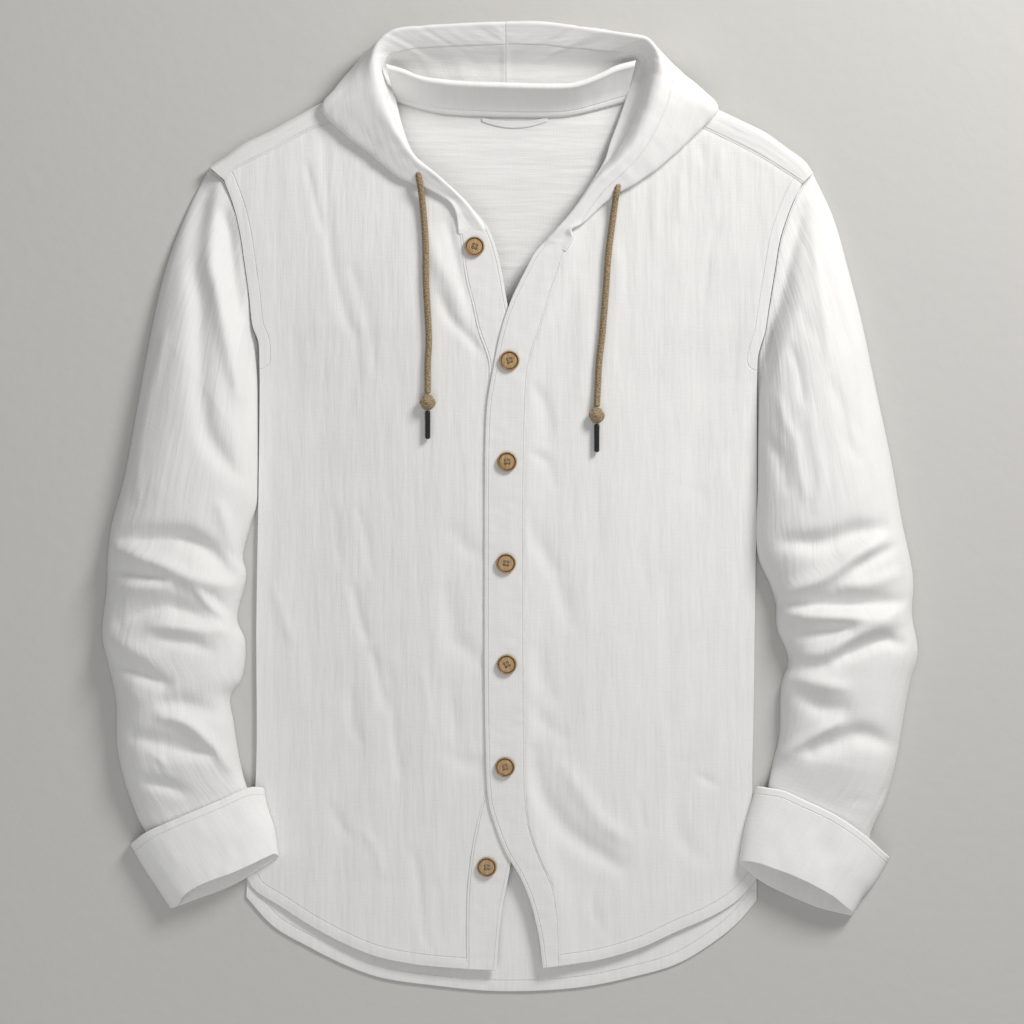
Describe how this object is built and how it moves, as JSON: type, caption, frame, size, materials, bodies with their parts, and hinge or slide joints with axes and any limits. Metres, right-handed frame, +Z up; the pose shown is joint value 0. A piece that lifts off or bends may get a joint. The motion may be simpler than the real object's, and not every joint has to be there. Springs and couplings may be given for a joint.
{
  "type": "hooded shirt",
  "caption": "White double-gauze hooded shirt, buttoned and laid flat, with turned-up cuffs, wooden buttons and a tan drawcord.",
  "frame": {"origin": "centre of the shirt's footprint on the surface it lies on", "axes": "+Z up from the surface to the shirt's front, +Y from the hem to the hood, +X towards the wearer's left sleeve"},
  "size_m": [0.7173, 0.8498, 0.042],
  "materials": {
    "cloth": "matt",
    "wood_button": "satin",
    "cord": "matt",
    "tip": "gloss"
  },
  "bodies": {
    "root": {"back": "cloth", "yoke": "cloth", "front_right": "cloth", "front_left": "cloth", "button_band": "cloth", "buttonhole_band": "cloth", "sleeve_right": "cloth", "sleeve_left": "cloth", "cuff_right": "cloth", "cuff_left": "cloth", "hood_right": "cloth", "hood_left": "cloth", "neckband": "cloth", "hanger_loop": "cloth", "button_1": "wood_button", "button_2": "wood_button", "button_3": "wood_button", "button_4": "wood_button", "button_5": "wood_button", "button_6": "wood_button", "button_7": "wood_button", "drawcord_right": "cord", "cord_knot_right": "cord", "cord_tip_right": "tip", "drawcord_left": "cord", "cord_knot_left": "cord", "cord_tip_left": "tip"}
  },
  "joints": []
}
